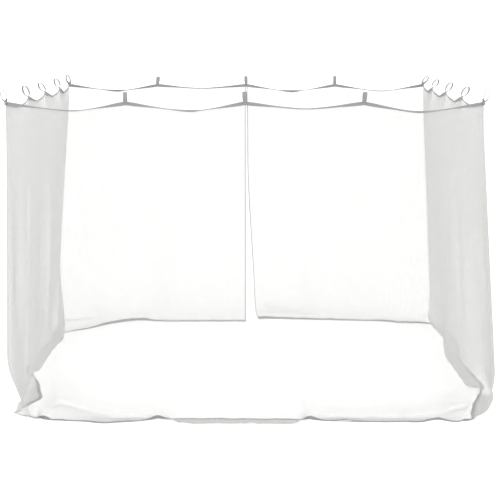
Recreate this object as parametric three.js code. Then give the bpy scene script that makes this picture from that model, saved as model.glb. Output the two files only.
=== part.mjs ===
// Mosquito net for a square gazebo. One band of fine net goes round four sides and opens at a slit in
// the middle of the back. It hangs by webbing loops from a heading tape, and its spare length lies on
// the floor, here inside and there outside the foot of the wall.
import * as THREE from "three";

// Driving dimensions in millimetres. Z is up, the floor is Z = 0 and the front wall faces -Y.
const SIDE = 3000; // one side of the square plan, corner loop to corner loop
const HEADING_HEIGHT = 2041; // middle of the heading tape where a loop carries it
const BAYS_PER_SIDE = 4; // a loop at each end of a bay
// These two shifts put the origin under the middle of the floor that the cloth covers.
const CENTRE_X = -39;
const CENTRE_Y = 12;

const NET_THICKNESS = 1.2;
const TAPE_WIDTH = 24;
const TAPE_THICKNESS = 1.8;
const HEM_WIDTH = 24;
const HEM_THICKNESS = 1.2;
const SLIT_BINDING_WIDTH = 12;
const SLIT_HALF_GAP = 4; // half of the opening between the two free edges, under the heading
const SEAM_GAP = 0.3; // sewn pieces meet edge to edge, this far apart

// Plan of the heading: its corners are rounded over this reach, and wider lower down.
const CORNER_REACH_TOP = 16;
const CORNER_REACH_LOW = 90;
const LOOP_PULL_IN = 24; // a loop between the corners leans out, so its foot hangs inside the square
const HEADING_DROP = 90; // height in which the cloth turns from the tape's roll to the wall
const NET_TURN_IN = 7; // the net's first stretch, which lies in line with the tape

// Webbing loop: an oval that leans out and up, with both ends sewn to the tape's outer face.
const LOOP_WIDTH = 25;
const WEBBING = 1.8;
const LOOP_LENGTH = 76;
const LOOP_BREADTH = 34;
const LOOP_LEAN = 38; // degrees from upright
const LOOP_STEPS = 12;
const LOOP_TAIL_THICKNESS = 2.4; // the two ends, pressed flat and sewn
const LOOP_TAIL_GAP = 0.5; // between the tail and the tape's face

// Greatest reach of the three bends down the cloth: under the heading, at the knee and at the foot.
const BEND_REACH = [45, 130, 42];

// One row for each bay, in order round the net from the slit: how deep the heading sags, where it is
// lowest (share of the bay), and how far the tape rolls before, at and after that place, in degrees.
// sag, low, rollBefore, rollLow, rollAfter
const HEADING_BAYS = [
  [38, 0.5, 50, 64, 54], // back, left of the slit
  [50, 0.45, 80, 48, 70],
  [48, 0.52, 58, 40, 66], // left side, from the back
  [40, 0.44, 64, 44, 60],
  [38, 0.46, 68, 52, 70],
  [42, 0.45, 56, 46, 62],
  [46, 0.56, 56, 50, 80], // front, from the left
  [48, 0.55, 78, 50, 76],
  [35, 0.52, 62, 76, 60],
  [54, 0.46, 74, 42, 72],
  [38, 0.54, 60, 46, 64], // right side, from the front
  [42, 0.5, 66, 40, 58],
  [43, 0.52, 56, 48, 68],
  [44, 0.5, 62, 44, 60],
  [50, 0.47, 68, 70, 80], // back, from the right corner to the slit
  [46, 0.48, 76, 46, 72],
];
const ROLL_STARTS = 0.05; // share of a bay beside each loop in which the tape stays upright
const ROLL_BEFORE = 0.34;
const ROLL_AFTER = 0.68;

// How the lower cloth falls, in one short table for each wall. "at" is the X or Y of the place under
// the heading. The knee is where the wall leaves its straight fall, the foot is where it turns over
// onto the floor, and the hem is its end. Each is given as the distance outwards from the square, the
// distance in the direction in which the table runs on round the band, and the height. Where the hem
// changes from inside the foot to outside it, the foot stands high and the cloth upright.
// at, knee out, along, up, foot out, along, up, hem out, along, up
const BACK_LEFT_FALL = [
  [0, -4, 0, 200, 0, 0, 90, -10, 0, 1],
  [-400, 0, 0, 200, 4, 0, 90, 0, 0, 1],
  [-720, 8, 0, 190, 8, 0, 80, 4, 0, 1],
  [-850, 16, 0, 160, 22, 0, 70, 30, 0, 1],
  [-950, -4, 0, 190, -28, 0, 84, 4, 0, 1],
  [-1050, -18, 0, 240, -40, 0, 62, -20, 0, 1],
  [-1180, -26, 0, 330, -104, 0, 60, -150, 0, 1],
  [-1320, -10, 0, 430, -240, 10, 76, -330, 20, 1],
  [-1430, 20, 20, 500, -330, 30, 80, -430, 40, 1],
];
const LEFT_FALL = [
  [1500, 122, -20, 540, 52, 320, 80, 40, 460, 1],
  [1430, 110, 0, 510, 78, 405, 78, 88, 450, 1],
  [1390, 104, 0, 496, 44, 370, 70, 126, 430, 1],
  [1350, 98, 0, 480, 14, 330, 60, 138, 406, 1],
  [1200, 94, 0, 400, 2, 270, 20, 90, 330, 1],
  [1050, 90, 0, 330, -8, 215, 1, 88, 240, 1],
  [880, 84, 0, 260, -22, 150, 1, 96, 160, 1],
  [680, 76, 0, 200, -8, 90, 1, 108, 95, 1],
  [450, 62, 0, 170, 6, 40, 1, 118, 40, 1],
  [100, 52, 0, 150, 11, 0, 1, 140, 0, 1],
  [-220, 42, 0, 140, 12, 0, 1, 140, 0, 1],
  [-350, 36, 0, 140, 26, 0, 20, 105, 0, 1],
  [-460, 30, 0, 150, 44, 0, 66, 40, 0, 1],
  [-600, 30, 0, 150, 44, 0, 22, -22, 0, 1],
  [-760, 30, 0, 170, 30, 0, 6, -52, 0, 1],
  [-1000, 26, 0, 200, 14, 0, 10, -100, 0, 1],
  [-1200, 20, 0, 260, -6, 0, 26, -45, -20, 1],
  [-1380, 24, 0, 310, -34, 0, 58, 0, -70, 1],
];
const FRONT_FALL = [
  [-1500, 24, -52, 330, -30, 34, 90, -108, -44, 1],
  [-1360, 6, 0, 250, 66, 6, 12, -38, -14, 1],
  [-1325, -2, 0, 262, 34, 4, 56, -20, -14, 1],
  [-1295, -8, 0, 270, -8, 4, 80, 0, -16, 1],
  [-1265, -16, 0, 284, -56, 2, 82, 14, -16, 1],
  [-1220, -24, 0, 300, -120, 0, 82, 28, -16, 1],
  [-1060, -30, 0, 280, -92, 0, 52, 44, 0, 1],
  [-940, -26, 0, 220, -60, 0, 24, 98, 0, 1],
  [-840, -24, 0, 170, -38, 0, 6, 86, 0, 1],
  [-660, -20, 0, 130, -44, 0, 1, 36, 0, 1],
  [-560, 0, 0, 130, 2, 0, 70, -2, 0, 1],
  [-420, 64, 0, 110, 130, 0, 1, -8, 0, 1],
  [-150, 72, 0, 110, 142, 0, 1, -4, 0, 1],
  [100, 72, 0, 110, 146, 0, 1, 0, 0, 1],
  [330, 70, 0, 110, 144, 0, 1, 6, 0, 1],
  [410, 26, 0, 130, 40, 0, 70, 22, 0, 1],
  [530, -16, 0, 120, -44, 0, 1, 36, 0, 1],
  [800, -10, 0, 90, -28, 0, 1, 64, 0, 1],
  [1000, 0, 0, 100, -34, 0, 4, 62, 0, 1],
  [1130, 10, 10, 110, -30, 0, 16, 70, 0, 1],
  [1250, 2, 10, 170, -46, 0, 26, 16, 0, 1],
  [1350, 6, 20, 200, -86, 10, 40, 74, -6, 1],
  [1415, 20, 50, 215, -40, 20, 60, 72, -30, 1],
  [1465, 34, 60, 230, 20, 10, 74, 68, -48, 1],
];
const RIGHT_FALL = [
  [-1500, 126, -44, 250, 46, -28, 48, -26, -72, 1],
  [-1430, 130, -10, 230, 76, -20, 22, -22, -44, 1],
  [-1350, 130, 0, 210, 108, 0, 1, -8, -20, 1],
  [-1150, 150, 0, 190, 178, 0, 1, 42, 0, 1],
  [-950, 148, 0, 170, 214, 0, 1, 106, 0, 1],
  [-860, 136, 0, 160, 134, 0, 62, 138, 0, 1],
  [-740, 116, 0, 140, 60, 0, 8, 190, 0, 1],
  [-500, 88, 0, 130, 44, 0, 1, 184, 0, 1],
  [-170, 70, 0, 130, 36, 0, 1, 164, 0, 1],
  [110, 64, 0, 130, 28, 0, 1, 152, 0, 1],
  [300, 72, 0, 130, 46, 0, 1, 176, 0, 1],
  [500, 90, 0, 140, 70, 0, 1, 204, 0, 1],
  [740, 104, 0, 150, 104, 0, 1, 222, 0, 1],
  [950, 104, 0, 160, 92, 0, 1, 212, 0, 1],
  [1200, 100, 0, 190, 76, -10, 1, 194, -20, 1],
  [1370, 94, 0, 220, 62, 0, 44, 122, -44, 1],
];
const BACK_RIGHT_FALL = [
  [1500, 26, -104, 260, -28, -100, 64, -116, -122, 1],
  [1400, 8, -50, 200, -50, -40, 28, -110, -50, 1],
  [1310, 4, -20, 170, -40, -10, 26, -98, -10, 1],
  [1230, 4, 0, 150, 10, 0, 34, -48, 0, 1],
  [1120, 10, 0, 140, 46, 0, 22, -18, 0, 1],
  [900, 24, 0, 130, 66, 0, 6, 0, 0, 1],
  [640, 24, 0, 140, 44, 0, 60, 56, 0, 1],
  [470, 20, 0, 130, 18, 0, 14, 104, 0, 1],
  [290, 14, -20, 140, 18, -16, 14, 112, -20, 1],
  [160, 6, -44, 160, 0, -44, 50, 66, -50, 1],
  [0, 0, -70, 180, 0, -80, 90, 50, -104, 4],
];

// Walls in the order in which the band goes round. "start" is the band's length up to the wall's first
// place, "first" that place's X or Y, "step" how "at" changes along the band.
const WALLS = {
  backLeft: { start: 0, first: 0, step: -1, out: [0, 1], along: [-1, 0], fall: BACK_LEFT_FALL },
  left: { start: SIDE / 2, first: SIDE / 2, step: -1, out: [-1, 0], along: [0, -1], fall: LEFT_FALL },
  front: { start: 1.5 * SIDE, first: -SIDE / 2, step: 1, out: [0, -1], along: [1, 0], fall: FRONT_FALL },
  right: { start: 2.5 * SIDE, first: -SIDE / 2, step: 1, out: [1, 0], along: [0, 1], fall: RIGHT_FALL },
  backRight: {
    start: 3.5 * SIDE,
    first: SIDE / 2,
    step: -1,
    out: [0, 1],
    along: [-1, 0],
    fall: BACK_RIGHT_FALL,
  },
};

// Soft upright folds in the walls: a bulge outwards (+) or inwards (-) that is deepest at a share of
// the drop and fades to the heading.
// wall, at, half width, out, along, deepest
const WALL_FOLDS = [
  ["backLeft", -450, 190, 12, 0, 0.6],
  ["backLeft", -900, 140, -16, 0, 0.65],
  ["backLeft", -1250, 120, 14, 0, 0.55],
  ["left", 1250, 90, -14, 0, 0.5],
  ["left", 900, 190, 18, 0, 0.6],
  ["left", 280, 150, -24, 0, 0.7],
  ["left", -100, 160, 26, 0, 0.7],
  ["left", -860, 130, -28, 0, 0.72],
  ["left", -1150, 130, 32, 0, 0.7],
  ["front", -1100, 140, 16, 0, 0.6],
  ["front", -700, 160, -12, 0, 0.6],
  ["front", -300, 180, 12, 0, 0.55],
  ["front", 150, 180, -10, 0, 0.6],
  ["front", 600, 160, 12, 0, 0.6],
  ["front", 950, 150, -12, 0, 0.65],
  ["right", -1250, 120, 16, 0, 0.6],
  ["right", -950, 130, -12, 0, 0.6],
  ["right", -420, 110, 16, 0, 0.7],
  ["right", -150, 130, -14, 0, 0.65],
  ["right", 280, 110, 14, 0, 0.7],
  ["right", 560, 130, -12, 0, 0.6],
  ["right", 1080, 150, 12, 0, 0.6],
  ["backRight", 1150, 140, 14, 0, 0.6],
  ["backRight", 700, 150, -14, 0, 0.6],
  ["backRight", 350, 150, 12, 0, 0.55],
  ["backRight", 0, 240, 0, 17, 0.4],
];

const BAY = SIDE / BAYS_PER_SIDE;
const BAYS = 4 * BAYS_PER_SIDE;
const ROUND = 4 * SIDE;
const UP = new THREE.Vector3(0, 0, 1);

function clamp01(value) {
  return Math.min(1, Math.max(0, value));
}

function smoothstep(from, to, value) {
  const share = clamp01((value - from) / (to - from));
  return share * share * (3 - 2 * share);
}

function lerp(a, b, share) {
  return a + (b - a) * share;
}

// Length along the band, from the slit, of a place on a wall.
function runOf(wall, at) {
  return wall.start + (at - wall.first) * wall.step;
}

// Point of the plan square at a length along the band, with its corner rounded over a reach, and the
// direction that faces outwards there.
function planAt(run, reach) {
  const corner = SIDE / 2 + SIDE * Math.round((run - SIDE / 2) / SIDE);
  const beside = run - corner;
  const turn = Math.round((corner - SIDE / 2) / SIDE);
  // Corner 0 is back left, then the corners follow anticlockwise seen from above.
  const cornerX = turn === 0 || turn === 1 ? -SIDE / 2 : SIDE / 2;
  const cornerY = turn === 1 || turn === 2 ? -SIDE / 2 : SIDE / 2;
  const quarter = (turn * Math.PI) / 2;
  const before = [-Math.cos(quarter), -Math.sin(quarter)];
  const after = [Math.sin(quarter), -Math.cos(quarter)];
  const outBefore = [-before[1], before[0]].map((v) => -v);
  const outAfter = [-after[1], after[0]].map((v) => -v);
  if (Math.abs(beside) >= reach) {
    const along = beside < 0 ? before : after;
    const out = beside < 0 ? outBefore : outAfter;
    return { x: cornerX + along[0] * beside, y: cornerY + along[1] * beside, outX: out[0], outY: out[1] };
  }
  const share = (beside + reach) / (2 * reach);
  const first = (1 - share) ** 2;
  const last = share ** 2;
  const length = Math.hypot(1 - share, share);
  return {
    x: cornerX - first * reach * before[0] + last * reach * after[0],
    y: cornerY - first * reach * before[1] + last * reach * after[1],
    outX: ((1 - share) * outBefore[0] + share * outAfter[0]) / length,
    outY: ((1 - share) * outBefore[1] + share * outAfter[1]) / length,
  };
}

// Middle of the heading tape: it sags between loops as a rounded V, and hangs inside the square
// between the corners, because the loops there lean outwards.
function headingAt(run) {
  const place = ((run / BAY) % BAYS + BAYS) % BAYS;
  const bay = Math.floor(place);
  const share = place - bay;
  const [sag, low, rollBefore, rollLow, rollAfter] = HEADING_BAYS[bay];
  const toLow = share < low ? share / low : (1 - share) / (1 - low);
  const round = 0.2;
  const peak = Math.hypot(1, round);
  const depth = (sag * (peak - Math.hypot(1 - toLow, round))) / (peak - round);
  const roll = rollAt(share, low, rollBefore, rollLow, rollAfter);
  const fromCorner = Math.abs(run - SIDE / 2 - SIDE * Math.round((run - SIDE / 2) / SIDE));
  const inwards = LOOP_PULL_IN * smoothstep(0, BAY, fromCorner);
  const plan = planAt(run, CORNER_REACH_TOP);
  const outward = new THREE.Vector3(plan.outX, plan.outY, 0);
  const middle = new THREE.Vector3(plan.x, plan.y, HEADING_HEIGHT - depth).addScaledVector(outward, -inwards);
  const upEdge = UP.clone().multiplyScalar(Math.cos(roll)).addScaledVector(outward, -Math.sin(roll));
  return { middle, outward, upEdge };
}

// Roll of the tape about its length, in radians: upright at the loops, with soft steps between.
function rollAt(share, low, rollBefore, rollLow, rollAfter) {
  const places = [ROLL_STARTS, ROLL_BEFORE, low, ROLL_AFTER, 1 - ROLL_STARTS];
  const rolls = [0, rollBefore, rollLow, rollAfter, 0];
  const next = places.findIndex((place) => share < place);
  if (next <= 0) return 0;
  const soft = smoothstep(places[next - 1], places[next], share);
  return THREE.MathUtils.degToRad(lerp(rolls[next - 1], rolls[next], soft));
}

// The fall tables as one list round the band, with each shift turned into X, Y and Z.
const FALL = Object.values(WALLS).flatMap((wall) =>
  wall.fall.map(([at, ...shifts]) => ({
    run: runOf(wall, at),
    shifts: [0, 3, 6].map((first) => {
      const [out, along, up] = shifts.slice(first, first + 3);
      return [out * wall.out[0] + along * wall.along[0], out * wall.out[1] + along * wall.along[1], up];
    }),
  })),
);

// Smooth value between table rows: a cubic whose slope at each row comes from the rows beside it.
function between(run, part, axis) {
  const value = (row) => FALL[row].shifts[part][axis];
  const slope = (row) => {
    const a = Math.max(0, row - 1);
    const b = Math.min(FALL.length - 1, row + 1);
    return (value(b) - value(a)) / (FALL[b].run - FALL[a].run);
  };
  let row = FALL.findLastIndex((entry) => entry.run <= run);
  row = Math.min(Math.max(row, 0), FALL.length - 2);
  const span = FALL[row + 1].run - FALL[row].run;
  const s = clamp01((run - FALL[row].run) / span);
  const rise = value(row + 1) - value(row);
  const start = slope(row) * span;
  const end = slope(row + 1) * span;
  return value(row) + s * start + s * s * (3 * rise - 2 * start - end) + s ** 3 * (start + end - 2 * rise);
}

// A point in line with the tape, this far below its middle.
function tapePoint(run, below) {
  const { middle, upEdge } = headingAt(run);
  return middle.addScaledVector(upEdge, -below);
}

// Five points down the cloth at a place along the band: just below the tape, the top of the wall, the
// knee, the foot and the end of the hem.
function fallPoints(run) {
  const heading = headingAt(run);
  const top = tapePoint(run, TAPE_WIDTH / 2 + SEAM_GAP + NET_TURN_IN);
  const wallTop = heading.middle.addScaledVector(UP, -HEADING_DROP);
  const plan = planAt(run, CORNER_REACH_LOW);
  const lower = [0, 1, 2].map((part) => {
    const height = Math.max(HEM_THICKNESS / 2, between(run, part, 2));
    return new THREE.Vector3(plan.x + between(run, part, 0), plan.y + between(run, part, 1), height);
  });
  return [top, wallTop, ...lower];
}

// Shift of a wall's point by the soft folds, for a share of the drop from heading to knee.
function foldShift(run, share) {
  const shift = new THREE.Vector3();
  for (const [wallName, at, halfWidth, out, along, deepest] of WALL_FOLDS) {
    const wall = WALLS[wallName];
    const away = (run - runOf(wall, at)) / halfWidth;
    const fade = smoothstep(0, deepest, share) * (1 - smoothstep(deepest, 1, share));
    const size = Math.exp(-away * away) * fade;
    shift.x += size * (out * wall.out[0] + along * wall.along[0]);
    shift.y += size * (out * wall.out[1] + along * wall.along[1]);
  }
  return shift;
}

// A place down the cloth as one number: whole numbers are the ends of straight stretches and bends,
// in turn, from 0 at the tape to 7 at the end of the hem.
function clothPoint(run, down) {
  const points = fallPoints(run);
  const lengths = [0, 1, 2, 3].map((i) => points[i].distanceTo(points[i + 1]));
  const reach = [
    Math.min(BEND_REACH[0], 0.45 * lengths[0], 0.45 * lengths[1]),
    Math.min(BEND_REACH[1], 0.4 * lengths[1], 0.4 * lengths[2]),
    Math.min(BEND_REACH[2], 0.45 * lengths[2], lengths[3] - HEM_WIDTH - 8),
  ];
  const toward = (from, to, distance) => {
    const way = points[to].clone().sub(points[from]).normalize();
    return points[from].clone().addScaledVector(way, distance);
  };
  const piece = Math.min(6, Math.floor(down));
  const share = down - piece;
  if (piece % 2 === 0) {
    const i = piece / 2;
    const a = i === 0 ? points[0] : toward(i, i + 1, reach[i - 1]);
    const b = i === 3 ? points[4] : toward(i + 1, i, reach[i]);
    const point = a.clone().lerp(b, share);
    if (i === 1) point.add(foldShift(run, share));
    return point;
  }
  const corner = (piece + 1) / 2;
  const a = toward(corner, corner - 1, reach[corner - 1]);
  const b = toward(corner, corner + 1, reach[corner - 1]);
  return a
    .multiplyScalar((1 - share) ** 2)
    .addScaledVector(points[corner], 2 * share * (1 - share))
    .addScaledVector(b, share ** 2);
}

// A point of the hem, measured back from its end.
function hemPoint(run, fromEnd) {
  const points = fallPoints(run);
  const way = points[3].clone().sub(points[4]).normalize();
  return points[4].clone().addScaledVector(way, fromEnd);
}

// A closed sheet of even thickness over a grid of points. The first index runs along the band, the
// second down the cloth. A ring joins its last column to its first.
function sheetGeometry(grid, thickness, ring = false) {
  const columns = grid.length;
  const rows = grid[0].length;
  const wrap = (i) => (ring ? (i + columns) % columns : Math.min(columns - 1, Math.max(0, i)));
  const positions = [];
  for (const side of [1, -1]) {
    for (let i = 0; i < columns; i++) {
      for (let j = 0; j < rows; j++) {
        const along = grid[wrap(i + 1)][j].clone().sub(grid[wrap(i - 1)][j]);
        const down = grid[i][Math.min(rows - 1, j + 1)].clone().sub(grid[i][Math.max(0, j - 1)]);
        const outward = down.cross(along).normalize();
        const point = grid[i][j].clone().addScaledVector(outward, (side * thickness) / 2);
        positions.push(point.x, point.y, point.z);
      }
    }
  }
  const outer = (i, j) => wrap(i) * rows + j;
  const inner = (i, j) => columns * rows + wrap(i) * rows + j;
  const faces = [];
  const quad = (a, b, c, d) => faces.push(a, b, c, a, c, d);
  const lastColumn = ring ? columns : columns - 1;
  for (let i = 0; i < lastColumn; i++) {
    for (let j = 0; j < rows - 1; j++) {
      quad(outer(i, j), outer(i, j + 1), outer(i + 1, j + 1), outer(i + 1, j));
      quad(inner(i, j), inner(i + 1, j), inner(i + 1, j + 1), inner(i, j + 1));
    }
    quad(outer(i + 1, 0), inner(i + 1, 0), inner(i, 0), outer(i, 0));
    quad(outer(i + 1, rows - 1), outer(i, rows - 1), inner(i, rows - 1), inner(i + 1, rows - 1));
  }
  if (!ring) {
    for (let j = 0; j < rows - 1; j++) {
      quad(outer(0, j + 1), outer(0, j), inner(0, j), inner(0, j + 1));
      const end = columns - 1;
      quad(outer(end, j + 1), inner(end, j + 1), inner(end, j), outer(end, j));
    }
  }
  const geometry = new THREE.BufferGeometry();
  geometry.setAttribute("position", new THREE.Float32BufferAttribute(positions, 3));
  geometry.setIndex(faces);
  return geometry;
}

// Lengths along the band at which the solids have a column: closer beside each loop, where the tape
// stays upright, and one for each row of the fall tables that no such column is near.
const BAY_COLUMNS = [0, 0.05, 0.2, 0.35, 0.5, 0.65, 0.8, 0.95];
const BAY_NUMBERS = Array.from({ length: BAYS }, (_, bay) => bay);
const BAY_RUNS = BAY_NUMBERS.flatMap((bay) => BAY_COLUMNS.map((share) => (bay + share) * BAY));
const nearNoBayRun = (run) => BAY_RUNS.every((other) => Math.abs(other - run) > 20);
const FALL_RUNS = FALL.map((row) => row.run).filter((run) => run < ROUND && nearNoBayRun(run));
const RING_RUNS = [...BAY_RUNS, ...FALL_RUNS].sort((a, b) => a - b);
const CLOTH_ROWS = [0, 1.4, 2.04, 2.28, 2.5, 2.72, 3, 3.5, 4, 5, 5.5, 6];

function columnsBetween(from, to) {
  return [from, ...RING_RUNS.filter((run) => run > from + 1 && run < to - 1), to];
}

// Rows of the net down one column, ending a seam's gap above the hem tape.
function netColumn(run) {
  const top = tapePoint(run, TAPE_WIDTH / 2 + SEAM_GAP);
  return [top, ...CLOTH_ROWS.map((down) => clothPoint(run, down)), hemPoint(run, HEM_WIDTH + SEAM_GAP)];
}

function netGeometry() {
  const edge = SLIT_HALF_GAP + SLIT_BINDING_WIDTH + SEAM_GAP;
  return sheetGeometry(columnsBetween(edge, ROUND - edge).map(netColumn), NET_THICKNESS);
}

function slitBindingGeometry(edge, inner) {
  return sheetGeometry([edge, inner].sort((a, b) => a - b).map(netColumn), HEM_THICKNESS);
}

function headingTapeGeometry() {
  const column = (run) => [-TAPE_WIDTH / 2, TAPE_WIDTH / 2].map((below) => tapePoint(run, below));
  return sheetGeometry(RING_RUNS.map(column), TAPE_THICKNESS, true);
}

function hemTapeGeometry() {
  const column = (run) => [HEM_WIDTH, 0].map((fromEnd) => hemPoint(run, fromEnd));
  const runs = columnsBetween(SLIT_HALF_GAP, ROUND - SLIT_HALF_GAP);
  return sheetGeometry(runs.map(column), HEM_THICKNESS);
}

// Side view of a loop: X points outwards and Y up, from the middle of the tape.
function loopShape() {
  const lean = THREE.MathUtils.degToRad(LOOP_LEAN);
  const tailInner = TAPE_THICKNESS / 2 + LOOP_TAIL_GAP;
  const tailOuter = tailInner + LOOP_TAIL_THICKNESS;
  const tailBottom = 1 - TAPE_WIDTH / 2;
  const tailTop = TAPE_WIDTH / 2 - 0.8;
  const centreX = (tailInner + tailOuter) / 2 + (Math.sin(lean) * LOOP_LENGTH) / 2;
  const centreY = TAPE_WIDTH / 2 + (Math.cos(lean) * LOOP_LENGTH) / 2;
  const oval = (step, inset) => {
    const angle = Math.PI + (step * 2 * Math.PI) / LOOP_STEPS;
    const long = (LOOP_LENGTH / 2 - inset) * Math.cos(angle);
    const wide = (LOOP_BREADTH / 2 - inset) * Math.sin(angle);
    return new THREE.Vector2(
      centreX + long * Math.sin(lean) + wide * Math.cos(lean),
      centreY + long * Math.cos(lean) - wide * Math.sin(lean),
    );
  };
  const steps = Array.from({ length: LOOP_STEPS - 1 }, (_, i) => i + 1);
  const outline = [
    new THREE.Vector2(tailInner, tailTop),
    new THREE.Vector2(tailInner, tailBottom),
    new THREE.Vector2(tailOuter, tailBottom),
    new THREE.Vector2(tailOuter, tailTop),
    ...steps.map((step) => oval(LOOP_STEPS - step, 0)),
  ];
  const shape = new THREE.Shape(outline);
  shape.holes.push(new THREE.Path([0, ...steps].map((step) => oval(step, WEBBING))));
  return shape;
}

function loopMesh(name, run) {
  const { middle, outward } = headingAt(run);
  const geometry = new THREE.ExtrudeGeometry(loopShape(), { depth: LOOP_WIDTH, bevelEnabled: false });
  geometry.translate(0, 0, -LOOP_WIDTH / 2);
  geometry.rotateX(Math.PI / 2);
  const mesh = new THREE.Mesh(geometry, tapeMaterial);
  mesh.name = name;
  mesh.position.copy(middle);
  mesh.rotation.z = Math.atan2(outward.y, outward.x);
  return mesh;
}

const netMaterial = new THREE.MeshStandardMaterial({ color: "#e6e6e4", roughness: 0.9, metalness: 0 });
const tapeMaterial = new THREE.MeshStandardMaterial({ color: "#9c9c9c", roughness: 0.85, metalness: 0 });

// Loops in order round the band from the slit, so the first hangs at the middle of the back.
const LOOP_NAMES = [
  "loop_back_centre",
  "loop_back_left",
  "loop_corner_back_left",
  "loop_left_back",
  "loop_left_centre",
  "loop_left_front",
  "loop_corner_front_left",
  "loop_front_left",
  "loop_front_centre",
  "loop_front_right",
  "loop_corner_front_right",
  "loop_right_front",
  "loop_right_centre",
  "loop_right_back",
  "loop_corner_back_right",
  "loop_back_right",
];

const gazeboNet = new THREE.Group();
gazeboNet.position.set(CENTRE_X, CENTRE_Y, 0);

function addSheet(name, geometry, material) {
  const mesh = new THREE.Mesh(geometry, material);
  mesh.name = name;
  gazeboNet.add(mesh);
}

addSheet("net", netGeometry(), netMaterial);
addSheet("heading_tape", headingTapeGeometry(), tapeMaterial);
addSheet("hem_tape", hemTapeGeometry(), tapeMaterial);
const leftEdge = [SLIT_HALF_GAP, SLIT_HALF_GAP + SLIT_BINDING_WIDTH];
addSheet("slit_binding_left", slitBindingGeometry(...leftEdge), tapeMaterial);
addSheet("slit_binding_right", slitBindingGeometry(...leftEdge.map((run) => ROUND - run)), tapeMaterial);
LOOP_NAMES.forEach((name, place) => gazeboNet.add(loopMesh(name, place * BAY)));

export default gazeboNet;
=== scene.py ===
"""Gazebo mosquito net: one band of fine net round a square, hung by webbing loops from a heading tape.

Lengths in the tables are millimetres, everything else is metres. Z is up, the floor is Z = 0 and the
front wall faces -Y. "run" is the length along the band from the slit in the middle of the back.
"""

import math

import bpy
import numpy as np
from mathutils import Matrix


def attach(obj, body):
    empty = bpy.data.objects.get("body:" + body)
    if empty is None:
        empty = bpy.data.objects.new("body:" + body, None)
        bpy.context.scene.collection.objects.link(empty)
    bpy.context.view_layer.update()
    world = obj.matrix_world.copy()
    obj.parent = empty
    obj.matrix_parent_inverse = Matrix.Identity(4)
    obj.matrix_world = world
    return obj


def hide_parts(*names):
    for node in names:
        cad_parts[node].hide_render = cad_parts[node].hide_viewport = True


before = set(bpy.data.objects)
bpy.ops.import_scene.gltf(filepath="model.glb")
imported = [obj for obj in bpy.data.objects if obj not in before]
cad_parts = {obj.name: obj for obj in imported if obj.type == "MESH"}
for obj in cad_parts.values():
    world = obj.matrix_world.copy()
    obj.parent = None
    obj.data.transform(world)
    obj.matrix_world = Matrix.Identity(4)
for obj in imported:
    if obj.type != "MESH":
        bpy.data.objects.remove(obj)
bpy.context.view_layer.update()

bl_info = {
    "name": "Gazebo mosquito net",
    "version": (1, 0, 0),
    "blender": (4, 5, 0),
    "location": "View3D > Sidebar > Gazebo net",
    "description": "Makes a four-walled mosquito net for a square gazebo, with its tapes and loops",
    "category": "Add Mesh",
}

MM = 0.001
SIDE = 3.0  # of the plan square
BAY = SIDE / 4
BAYS = 16
ROUND = 4 * SIDE
HEADING_HEIGHT = 2.041  # middle of the tape at the loops
CENTRE = np.array([-0.039, 0.012])  # middle of the plan square in this frame

TAPE_WIDTH = 0.024
HEM_WIDTH = 0.024
BINDING_WIDTH = 0.007
SLIT_HALF_GAP = 0.004
FLOOR_CLEAR = 0.0006  # lowest height of the cloth's middle
CORNER_REACH_TOP = 0.016  # how far from a corner the plan starts to turn, at the heading
CORNER_REACH_LOW = 0.09  # and on the floor
LOOP_PULL_IN = 0.024  # how far the heading hangs inside the square between the corners
HEADING_DROP = 0.09  # from the tape's middle to the top of the upright wall
NET_TURN_IN = 0.0073  # from the tape's lower edge to the first point of the bend below it
LAP = 0.007  # how far the net's edge reaches into the tape that is folded over it
BINDING_LAP = 0.003  # and into the slit's bindings
TAPE_END = 0.001  # from the middle of the slit to the heading tape's ends
HEADING_COLUMNS = 961
HEM_COLUMNS = 1121

LOOP_WIDTH = 0.025
LOOP_LENGTH = 0.076
LOOP_TWISTED = 0.03  # how far above the tape a loop has its whole twist
# The loops in order round the band from the slit: lean from upright in degrees, breadth in mm, and
# twist about the upright in degrees.
LOOP_SHAPES = np.array([
    [36, 35, 3], [41, 33, -4], [14, 34, 36], [28, 40, -12],
    [38, 38, -11], [25, 42, -13], [16, 36, -38], [40, 35, 4],
    [37, 36, -3], [39, 34, 3], [24, 36, 38], [37, 40, 12],
    [35, 39, 12], [39, 39, 11], [34, 34, -36], [34, 36, -3],
])

# Greatest reach of the three bends down the cloth: under the heading, at the knee and at the foot.
BEND_REACH = np.array([45, 130, 42]) * MM
# A bend also takes no more than this share of the stretches beside it.
BEND_SHARE = np.array([0.45, 0.4, 0.45])
HEM_STRAIGHT = 0.008  # straight cloth left between the last bend and the hem tape

# One row for each bay round the net from the slit: sag in mm, share of the bay where it is lowest,
# and the tape's roll before, at and after that place in degrees.
HEADING_BAYS = np.array([
    [26, 0.5, 66, 76, 71],  # back, left of the slit
    [46, 0.45, 78, 45, 78],
    [48, 0.52, 78, 56, 80],  # left side, from the back
    [40, 0.44, 80, 54, 76],
    [38, 0.46, 78, 60, 82],
    [42, 0.45, 76, 56, 78],
    [46, 0.56, 84, 76, 85],  # front, from the left
    [48, 0.55, 84, 61, 85],
    [35, 0.52, 75, 80, 72],
    [54, 0.46, 68, 60, 83],
    [38, 0.54, 78, 56, 80],  # right side, from the front
    [42, 0.5, 80, 52, 76],
    [43, 0.52, 76, 58, 82],
    [44, 0.5, 80, 54, 78],
    [48, 0.47, 79, 74, 80],  # back, from the right corner to the slit
    [50, 0.48, 83, 37, 80],
])
# Shares of a bay where the roll leaves a loop, and where it is that of before and after the low place.
ROLL_STARTS = 0.02
ROLL_BEFORE = 0.35
ROLL_AFTER = 0.65
# How round the low point is: a share of half a bay, for each bay in the same order.
SAG_ROUNDING = np.repeat([0.2, 0.6, 0.2, 0.3, 0.2], [2, 4, 4, 4, 2])

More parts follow.
